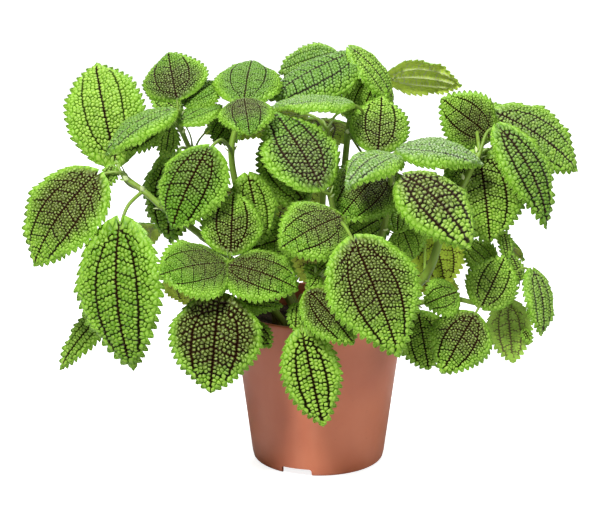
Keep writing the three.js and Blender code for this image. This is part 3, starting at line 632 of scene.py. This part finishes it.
def add_tube(mesh, line, run, radius, sides, values, ridges=0.0, groove=0.0):
    """A closed tube along a line. radius and values have an entry for each point of the line."""
    along = unit(np.gradient(line, axis=0))
    up = np.array([0, 0, 1] if abs(along[0][2]) < 0.8 else [0, 1, 0])
    across = np.array([up := squared(up, direction) for direction in along])
    angle = np.linspace(0, 2 * pi, sides + 1)
    off_top = (angle + pi) % (2 * pi) - pi
    shape = 1 + ridges * np.cos(4 * angle) - groove * np.exp(-(off_top / 0.5) ** 2)
    cosine, sine = np.cos(angle)[:, None], np.sin(angle)[:, None]
    ring = (across[:, None] * cosine + np.cross(along, across)[:, None] * sine) * shape[:, None]
    points = (line[:, None] + ring * radius[:, None, None]).reshape(-1, 3)
    ids = np.arange(len(points)).reshape(-1, sides + 1)
    a, b, c, d = cells(ids)
    cap = np.full(sides, len(points))
    caps = np.c_[cap, ids[0, 1:], ids[0, :-1]], np.c_[cap + 1, ids[-1, :-1], ids[-1, 1:]]
    faces = join([np.c_[a, b, c], np.c_[a, c, d], *caps])
    girth, ends = radius.mean(), [0, -1]
    flat = np.stack(np.broadcast_arrays(angle * girth, run[:, None]), -1).reshape(-1, 2)
    flat = join([flat, [[girth * pi, 0], [girth * pi, run[-1]]]])
    values = {column: join([np.repeat(value, sides + 1), value[ends]]) for column, value in values.items()}
    start = mesh.add(join([points, line[ends]]), values)
    mesh.face(faces + start, BARK, flat[faces])


def add_stem(mesh, radius, joints):
    top = joints[-1] + 2.5 * unit(joints[-1] - joints[-2])
    line, run = through([joints[0] - [0, 0, STEM_BELOW], *joints, top], 10 + 16 * len(joints))
    radius = radius * np.interp(run / run[-1], [0, 0.6, 0.97, 1], [1.02, 0.9, 0.72, 0.3])
    for joint in joints[1:]:
        gap = np.linalg.norm(line - joint, axis=1)
        radius = radius * (1 + SWELLING * np.exp(-((gap / SWELLING_REACH) ** 2)))
    values = {BRONZE: np.exp(-((line[:, 2] - SOIL_TOP) / 14) ** 2), LIGHT: 0.35 + 0.3 * run / run[-1]}
    add_tube(mesh, line, run, radius, STEM_SIDES, values, ridges=0.07)


def add_stalk(mesh, leaf, joint):
    arrive = unit(leaf.forward + leaf.face * (leaf.arch * 4))
    span = np.linalg.norm(leaf.base - joint)
    bend = leaf.base - arrive * 0.45 * span
    middle = 0.25 * joint + 0.5 * bend + 0.25 * leaf.base
    under = -0.25 - THICKNESS
    at, lift = np.array([0.012, STALK_INTO_BLADE, 0.16]), np.array([under, under - 0.15, under])
    ends = leaf.point(at, np.zeros(3), lift)
    line, run = through([joint, middle, *ends], max(8, round(span / 2) + 8))
    thick = min(max(leaf.length / 42, 0.5), 1.3) * 0.9
    radius = thick * np.interp(run / run[-1], [0, 0.1, 0.5, 0.75, 1], [1.15, 1.0, 0.88, 0.85, 0.3])
    values = {LIGHT: np.full(len(line), 0.5 + 0.25 * leaf.shades[1])}
    add_tube(mesh, line, run, radius, STALK_SIDES, values, groove=0.12)


def add_scale(mesh, place, direction, face, length, width, pale):
    """A small entire leaf: a stipule, or a leaf of a bud."""
    forward = unit(direction)
    face = squared(face, forward)
    u, v = np.meshgrid(np.linspace(0, 1, SCALE_ROWS), np.linspace(-1, 1, SCALE_COLUMNS), indexing="ij")
    u, v = u.ravel(), v.ravel()
    half = width / 2 * np.sin(pi * np.clip(u, 0.02, 0.99) ** 0.8)
    base = place + forward * (u * length)[:, None] + np.cross(forward, face) * (half * v)[:, None]
    a, b, c, d = cells(np.arange(len(u)).reshape(SCALE_ROWS, SCALE_COLUMNS))
    # Diagonals run into the corners, so that no triangle lies wholly on the rim
    other = (u[a] < 0.5) != (v[a] < 0)
    faces = join([np.c_[a, b, np.where(other, d, c)], np.c_[np.where(other, b, a), c, d]])
    flat = np.c_[half * v, u * length]
    for side in (1, -1):
        swell = 0.5 * side * (1 - v**2) * (u * (1 - u)) ** 0.5
        lift = swell - 0.25 * half * v**2 + 0.1 * length * u * (1 - u)
        start = mesh.add(base + face * lift[:, None], {NET: 0.5, LIGHT: pale})
        mesh.face(faces[:, ::side] + start, SCALE, flat[faces])


def add_joint_scales(mesh, radius, joints, random):
    """Two pale stipules at each joint, on opposite sides turned at random, and a bud of two folded leaves at
    the tip.
    """
    for before, joint in zip(joints, joints[1:]):
        ahead = unit(joint - before)
        turn = random.uniform(0, ROUND)
        side = unit(np.cross(ahead, [cos(turn), sin(turn), 0.3]))
        for out in (-side, side):
            place = joint + out * radius * 0.8 - ahead
            add_scale(mesh, place, unit(ahead * 0.8 + out * 0.6), unit(out - ahead * 0.3), 4.2, 3.0, 0.9)
    side = unit(np.cross(ahead, [0.3, 1, 0.2]))
    for out in (-side, side):
        place = joints[-1] + ahead + out * 0.5
        add_scale(mesh, place, unit(ahead + out * 0.45), unit(ahead * 0.5 - out), 6.0, 4.0, 0.3)


# Materials

MIX_A, MIX_B, MIX_RESULT = 6, 7, 2  # the sockets for colours of a Mix node


def rgb(code):
    """A colour written as six hexadecimal digits, as the linear numbers that a shader takes."""
    parts = [int(code[i:i + 2], 16) / 255 for i in (0, 2, 4)]
    return tuple(p / 12.92 if p <= 0.04045 else ((p + 0.055) / 1.055) ** 2.4 for p in parts) + (1.0,)


class Value:
    """What a node gives. A sum that starts with it becomes Math nodes."""

    def __init__(self, nodes, socket):
        self.nodes, self.socket = nodes, socket

    def __add__(self, other):
        return self.nodes.math("ADD", self, other)

    def __sub__(self, other):
        return self.nodes.math("SUBTRACT", self, other)

    def __mul__(self, other):
        return self.nodes.math("MULTIPLY", self, other)

    def __truediv__(self, other):
        return self.nodes.math("DIVIDE", self, other)


class Nodes:
    """Short ways to write the nodes of a material or of the world."""

    def __init__(self, owner, shader):
        owner.use_nodes = True
        self.owner, self.tree = owner, owner.node_tree
        self.shader = self.tree.nodes[shader]

    def put(self, value, socket):
        if isinstance(value, Value):
            self.tree.links.new(value.socket, socket)
        else:
            socket.default_value = rgb(value) if isinstance(value, str) else value

    def set(self, **sockets):
        """Fills sockets of the shader. A space in a socket's name is written as a low line."""
        for name, value in sockets.items():
            self.put(value, self.shader.inputs[name.replace("_", " ")])

    def node(self, kind, inputs=(), output=0, **properties):
        """One output of a new node, with its sockets filled."""
        node = self.tree.nodes.new("ShaderNode" + kind)
        for name, value in properties.items():
            setattr(node, name, value)
        for name, value in dict(inputs).items():
            self.put(value, node.inputs[name])
        return Value(self, node.outputs[output])

    def math(self, operation, *values):
        return self.node("Math", enumerate(values), operation=operation)

    def attribute(self, name):
        return self.node("Attribute", output="Fac", attribute_name=name)

    def ramp(self, value, low, high, out_low=0, out_high=1):
        """A smooth step from out_low to out_high as the value goes from low to high."""
        numbers = enumerate((value, low, high, out_low, out_high))
        return self.node("MapRange", numbers, interpolation_type="SMOOTHSTEP")

    def mix(self, share, first, second):
        return self.node("Mix", {0: share, MIX_A: first, MIX_B: second}, MIX_RESULT, data_type="RGBA")

    def noise(self, scale, detail=3.0, stretch=None):
        place = self.node("TexCoord", output="Object")
        if stretch:
            place = self.node("Mapping", {"Vector": place, "Scale": stretch})
        return self.node("TexNoise", {"Vector": place, "Scale": scale, "Detail": detail}, "Fac")

    def crackle(self, scale):
        """One on the lines between small cells, zero inside them."""
        inputs = {"Vector": self.node("TexCoord", output="Object"), "Scale": scale}
        gap = self.node("TexVoronoi", inputs, "Distance", feature="DISTANCE_TO_EDGE")
        return self.ramp(gap, 0.02, 0.16, 1, 0)

    def bump(self, distance, strength, *noise):
        inputs = {"Height": self.noise(*noise), "Distance": distance, "Strength": strength}
        self.set(Normal=self.node("Bump", inputs))


def skin(name, roughness, specular, **sockets):
    m = Nodes(bpy.data.materials.new(name), "Principled BSDF")
    m.set(Roughness=roughness, Specular_IOR_Level=specular, **sockets)
    return m


def leaf_top():
    m = skin("leaf_top", 0.38, 0.15)
    net, vein, bronze, dark, light, painted_sheen, out = (m.attribute(word) for word in VALUES)
    blotch = m.noise(150) - 0.5
    centre = m.ramp(bronze + blotch * 0.4, 0.1, 0.75)
    # The leaf's lightness, partly painted shade on leaves that sit in shade, with random blotches and a
    # lighter margin
    tone = light + blotch * 0.5 + m.ramp(out, 0.6, 1, 0, 0.45)

    # Each pebble: dark green in the valley, mid green on its flank, yellow green on top. The dark valleys
    # are partly the veins' own colour and partly painted shade; the light tops are partly painted highlight
    edge = m.ramp(out, 0.55, 0.95)
    valley = m.mix(edge, m.mix(tone, "244204", "44720A"), "527E12")
    flank = m.mix(edge, m.mix(tone, "4A7210", "72A01E"), "649418")
    crown = m.mix(edge, m.mix(tone, "56801E", "8CAE42"), "80A83C")
    green = m.mix(m.ramp(net, 0, 0.2), valley, m.mix(centre * 0.75, flank, "46361E"))
    top = m.ramp(net, 0.12, centre * 0.5 + 0.45)
    green = m.mix(top, green, m.mix(centre * 0.6, crown, "788450"))

    # The veins lie in the valleys, darkest in the middle of the leaf
    strength = m.ramp(vein + centre * 0.35 + (dark - 0.5) * 0.4, 0.42, 1)
    strength = strength * m.ramp(out, 0.6, 0.95, 1, 0.6)
    width = strength * vein * 0.5 + 0.1 + centre * 0.08
    line = m.ramp(net / width, 0.45, 1.1, 1, 0)
    brown = m.ramp(vein, 0.5, 1) + centre * 0.8
    ink = m.mix(m.ramp(brown, 0.3, 1.3), "162402", "281606")
    colour = m.mix(line * strength, green, ink)
    colour = m.mix(m.crackle(560) * (centre * 0.5 + 0.18), colour, ink)

    # Painted sheen: a whitish veil where the fine hairs catch the light, strongest on the pebbles' tops
    painted_sheen_veil = painted_sheen * m.ramp(net, 0.1, 0.9, 0.4, 0.9)
    painted_sheen_veil = painted_sheen_veil * (m.ramp(out, 0.95, 0.6) * m.ramp(m.noise(900), 0.38, 0.62, 0.1, 1))
    m.set(Base_Color=m.mix(painted_sheen_veil, colour, "A0AE92"))
    m.bump(0.0003, 0.5, 1700)
    return m.owner


def leaf_under():
    m = skin("leaf_under", 0.6, 0.15)
    net, vein, bronze, dark, light = (m.attribute(word) for word in VALUES[:PAINTED_SHEEN])
    # The green grows lighter with the leaf's lightness: partly the underside's own pale green, partly
    # painted light shining through the blade from behind
    green = m.mix(light, "7C9E3A", "C6E050")
    green = m.mix(m.ramp(bronze, 0.15, 0.8, 0, 0.6), green, "7A6A48")
    ink = m.mix(m.ramp(dark, 0.45, 0.75), "B2C080", "3A2A12")
    line = m.ramp(net / (vein * 0.4 + 0.12), 0.35, 1.2, 1, 0)
    m.set(Base_Color=m.mix(line * m.ramp(vein, 0, 0.8, 0.35, 1), green, ink))
    m.bump(0.0002, 0.35, 2200, 2.0)
    return m.owner


def stem_skin():
    m = skin("stem_skin", 0.45, 0.3, Sheen_Weight=0.03)
    streak = m.noise(220, 4.0, (1, 1, 0.15))
    green = m.mix(m.attribute("light"), "48620F", "7E9E38")
    green = m.mix(m.ramp(streak, 0.45, 0.7, 0, 0.4), green, "5A5A1C")
    m.set(Base_Color=m.mix(m.attribute("bronze") * 0.6, green, "5B4526"))
    m.bump(0.0003, 0.4, 900, 3.0, (1, 1, 0.2))
    return m.owner


def scale_skin():
    m = skin("young_scale", 0.6, 0.3, Sheen_Weight=0.1)
    m.set(Base_Color=m.mix(m.noise(500) * m.attribute("light"), "8DB04A", "DDE0B8"))
    m.bump(0.0002, 0.4, 1500)
    return m.owner


def pot_plastic():
    m = skin("pot_plastic", 0.42, 0.5)
    colour = m.mix(m.ramp(m.noise(14, 4.0), 0.3, 0.7), "A4563A", "B46848")
    streak = m.noise(60, 3.0, (1, 1, 0.06))
    colour = m.mix(m.ramp(streak, 0.5, 0.75, 0, 0.15), colour, "C4846A")
    grime = m.noise(380, 5.0)
    m.set(Base_Color=m.mix(m.ramp(grime, 0.62, 0.8, 0, 0.22), colour, "7A4632"))
    m.set(Roughness=m.ramp(m.noise(45, 4.0), 0.3, 0.7, 0.36, 0.5))
    m.bump(0.0001, 0.25, 1400)
    return m.owner


def potting_mix():
    m = skin("potting_mix", 0.95, 0.2)
    colour = m.mix(m.ramp(m.noise(700, 6.0), 0.35, 0.7), "120D0A", "3A2A1E")
    m.set(Base_Color=m.mix(m.ramp(m.noise(1500, 2.0), 0.66, 0.74, 0, 0.5), colour, "7B6248"))
    m.bump(0.0012, 0.9, 1100, 6.0)
    return m.owner


# Pot and potting mix

POT_HEIGHT, RIM_RADIUS, BASE_RADIUS, WALL = 96, 52.5, 40, 1.8
FLOOR_TOP, FLOOR_UNDER, FOOT_INSIDE = 7, 4.8, 37
RIM_ROUNDING, FOOT_ROUNDING, LIP_HEIGHT, LIP_THICKER = 1.2, 2, 4, 0.6
NOTCH_WIDTH, NOTCH_HEIGHT, NOTCH_ROUNDING, NOTCH_ANGLES = 19, 4.4, 1.6, (-20, 100, 220)
POT_SIDES = 160
SOIL_TOP, SOIL_SIDES, SOIL_RINGS = 83, 150, 46
CRUMBS, CRUMB_RADIUS = 900, 2.0


def pot_radius(z):
    return BASE_RADIUS + (RIM_RADIUS - BASE_RADIUS) * z / POT_HEIGHT


def arc(x, z, radius, start, end, count):
    """Points on an arc, with angles from the x axis."""
    return [(x + radius * cos(a), z + radius * sin(a)) for a in np.linspace(start, end, count)]


def circle(radius, z, sides):
    """Points on a level circle round the pot's axis."""
    angle = np.arange(sides) * 2 * pi / sides
    return np.stack([radius * np.cos(angle), radius * np.sin(angle), np.full(sides, z)], 1)


def bands(rings, sides):
    """The vertices of `rings` closed rings, and the vertex that follows each on its ring."""
    ids = np.arange(rings * sides).reshape(rings, sides)
    return ids, np.roll(ids, -1, axis=1)


def lathe(name, profile, sides):
    """A closed body of revolution round the pot's axis. The profile starts and ends on the axis."""
    rings = [circle(radius, z, sides) for radius, z in profile[1:-1]]
    ids, after = bands(len(rings), sides)
    points = join(rings + [[[0, 0, profile[0][1]], [0, 0, profile[-1][1]]]])
    faces = np.stack([ids[:-1], after[:-1], after[1:], ids[1:]], -1).reshape(-1, 4).tolist()
    faces += [[ids.size, after[0, k], ids[0, k]] for k in range(sides)]
    faces += [[ids.size + 1, ids[-1, k], after[-1, k]] for k in range(sides)]
    return make_mesh(name, points, faces)


def prism(outline, low, high, degrees):
    """A lying prism that cuts the pot: the outline is in x and z, runs along y and is turned."""
    cosine, sine = cos(radians(degrees)), sin(radians(degrees))
    points = [(x * cosine - y * sine, x * sine + y * cosine, z) for y in (low, high) for x, z in outline]
    n = len(outline)
    faces = [list(range(n)), list(range(2 * n - 1, n - 1, -1))]
    faces += [[(k + 1) % n, k, n + k, n + (k + 1) % n] for k in range(n)]
    return make_mesh("cutter", points, faces)


def cut(piece, cutters):
    for cutter in cutters:
        modifier = piece.modifiers.new("cut", "BOOLEAN")
        modifier.operation, modifier.solver, modifier.object = "DIFFERENCE", "EXACT", cutter
    graph = bpy.context.evaluated_depsgraph_get()
    mesh = bpy.data.meshes.new_from_object(piece.evaluated_get(graph))
    piece.modifiers.clear()
    piece.data = mesh
    for cutter in cutters:
        bpy.data.objects.remove(cutter)


def make_pot():
    lip, right = POT_HEIGHT - LIP_HEIGHT, pi / 2
    profile = [(0, FLOOR_UNDER), (FOOT_INSIDE, FLOOR_UNDER), (FOOT_INSIDE, 0.2), (FOOT_INSIDE + 0.2, 0.0)]
    profile += arc(BASE_RADIUS - FOOT_ROUNDING, FOOT_ROUNDING, FOOT_ROUNDING, -right, 1.4 - right, 7)
    profile += [(pot_radius(z), z) for z in np.linspace(4, POT_HEIGHT - 3, 12)]
    profile += arc(RIM_RADIUS - RIM_ROUNDING, POT_HEIGHT - RIM_ROUNDING, RIM_ROUNDING, 0, pi, 9)
    profile += [(pot_radius(lip) - WALL - LIP_THICKER, lip), (pot_radius(lip - 1) - WALL, lip - 1)]
    profile += [(pot_radius(FLOOR_TOP) - WALL, FLOOR_TOP), (0, FLOOR_TOP)]
    pot = lathe("nursery_pot", profile, POT_SIDES)
    half, side, top = NOTCH_WIDTH / 2, NOTCH_WIDTH / 2 - NOTCH_ROUNDING, NOTCH_HEIGHT - NOTCH_ROUNDING
    arch = [(-half, -1.0), (half, -1.0)]
    arch += arc(side, top, NOTCH_ROUNDING, 0, right, 6) + arc(-side, top, NOTCH_ROUNDING, right, pi, 6)
    cut(pot, [prism(arch, -BASE_RADIUS - 7, -BASE_RADIUS + 7, degrees) for degrees in NOTCH_ANGLES])
    finish(pot.data, 35, pot_plastic())
    return pot


def make_soil():
    """The potting mix: a body that fills the pot, its top raised in crumbs."""
    random = np.random.default_rng(7)
    reach = pot_radius(SOIL_TOP) - WALL - 0.5
    top = np.array([circle(reach * k / SOIL_RINGS, 0, SOIL_SIDES) for k in range(1, SOIL_RINGS + 1)], float)
    crumbs = random.uniform(-52, 52, (CRUMBS, 2))
    heights = random.uniform(0.4, 2.4, CRUMBS)
    gap = np.linalg.norm(top[:, :, None, :2] - crumbs, axis=3)
    rise = (heights * np.exp(-((gap / CRUMB_RADIUS) ** 2))).max(axis=2)
    top[:, :, 2] = SOIL_TOP - 1.4 + (rise + random.uniform(0, 0.25, rise.shape))
    walls = [circle(pot_radius(z) - WALL - 0.4, z, SOIL_SIDES) for z in (SOIL_TOP - 3, 40, FLOOR_TOP + 0.35)]
    ids, after = bands(SOIL_RINGS + len(walls), SOIL_SIDES)
    faces = np.stack([ids[:-1], ids[1:], after[1:], after[:-1]], -1).reshape(-1, 4).tolist()
    faces.append(ids[-1, ::-1].tolist())
    faces += [[ids.size, ids[0, k], after[0, k]] for k in range(SOIL_SIDES)]
    soil = make_mesh("potting_mix", join([*top, *walls, [[0, 0, SOIL_TOP - 1]]]), faces)
    finish(soil.data, 180, potting_mix())
    return soil


# Stage: a pale floor that grows white into the distance, soft lights and the camera. In metres

FLOOR_HALF, FLOOR_BELOW = 3, 0.0004
LIGHTS = (
    ("key", (-0.4, -0.7, 1.05), 0.3, 23.5),
    ("fill", (0.95, -0.6, 0.4), 0.6, 4.6),
    ("front", (-0.1, -1.2, 0.12), 0.7, 1.8),
    ("top", (0.15, 0.3, 1.15), 0.6, 11.0),
    ("back", (-0.2, 1.2, 0.5), 0.7, 3.0),
)
LIGHTS_AIM = (0, 0, 0.13)


def make_floor():
    mesh = bpy.data.meshes.new("floor")
    corners = [(x * FLOOR_HALF, y * FLOOR_HALF, 0) for x, y in ((-1, -1), (1, -1), (1, 1), (-1, 1))]
    mesh.from_pydata(corners, [], [range(4)])
    floor = make_object("floor", mesh)
    floor.location.z = -FLOOR_BELOW
    paper = skin("paper", 0.9, 0.1, Base_Color=(0.6, 0.6, 0.6, 1), Emission_Color=(1, 1, 1, 1))
    place = paper.node("TexCoord", output="Object")
    far = paper.node("VectorMath", {0: place}, "Value", operation="LENGTH")
    seen = paper.node("LightPath", output="Is Camera Ray")
    paper.set(Emission_Strength=seen * paper.ramp(far, 0.1, 0.6, 0.86, 1))
    mesh.materials.append(paper.owner)


def make_lights():
    world = bpy.data.worlds.new("studio")
    bpy.context.scene.world = world
    sky = Nodes(world, "Background")
    seen = sky.node("LightPath", output="Is Camera Ray")
    sky.set(Color=(1, 1, 1, 1), Strength=sky.ramp(seen, 0, 1, 0.15, 1))
    for name, place, size, power in LIGHTS:
        light = bpy.data.lights.new(name, "AREA")
        light.shape, light.size, light.energy = "DISK", size, power
        lamp = make_object(name, light)
        lamp.location = np.array(place) + AXIS
        lamp.rotation_euler = (Vector(LIGHTS_AIM) - Vector(place)).to_track_quat("-Z", "Y").to_euler()
    bpy.context.scene.view_settings.view_transform = "Standard"


def make_camera():
    data = bpy.data.cameras.new("camera")
    camera = make_object("camera", data)
    tilt = radians(CAMERA_ELEVATION)
    back = np.array([0, -cos(tilt), sin(tilt)]) * CAMERA_DISTANCE
    camera.location = metres(np.array(CAMERA_TARGET) + back)
    camera.rotation_euler = (pi / 2 - tilt, 0, 0)
    data.lens, data.clip_end = CAMERA_LENS, 20
    bpy.context.scene.camera = camera


make_camera()
make_floor()
make_lights()
skins = [leaf_top(), leaf_under(), stem_skin(), scale_skin()]
for number, (name, (radius, joints, *rows)) in enumerate(STEMS.items()):
    mesh, joints = Mesh(), np.array(joints, float)
    add_stem(mesh, radius, joints)
    for k, row in enumerate(rows):
        leaf = Leaf(row, 1000 * number + k)
        add_blade(mesh, leaf)
        add_stalk(mesh, leaf, joints[leaf.joint])
    add_joint_scales(mesh, radius, joints, np.random.default_rng(100 + number))
    piece = mesh.build("foliage_" + name, skins)
    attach(piece, "root")
    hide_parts("leafy_stem_" + name)

pot = make_pot()
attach(pot, "root")
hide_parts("pot")
soil = make_soil()
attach(soil, "root")
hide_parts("soil")
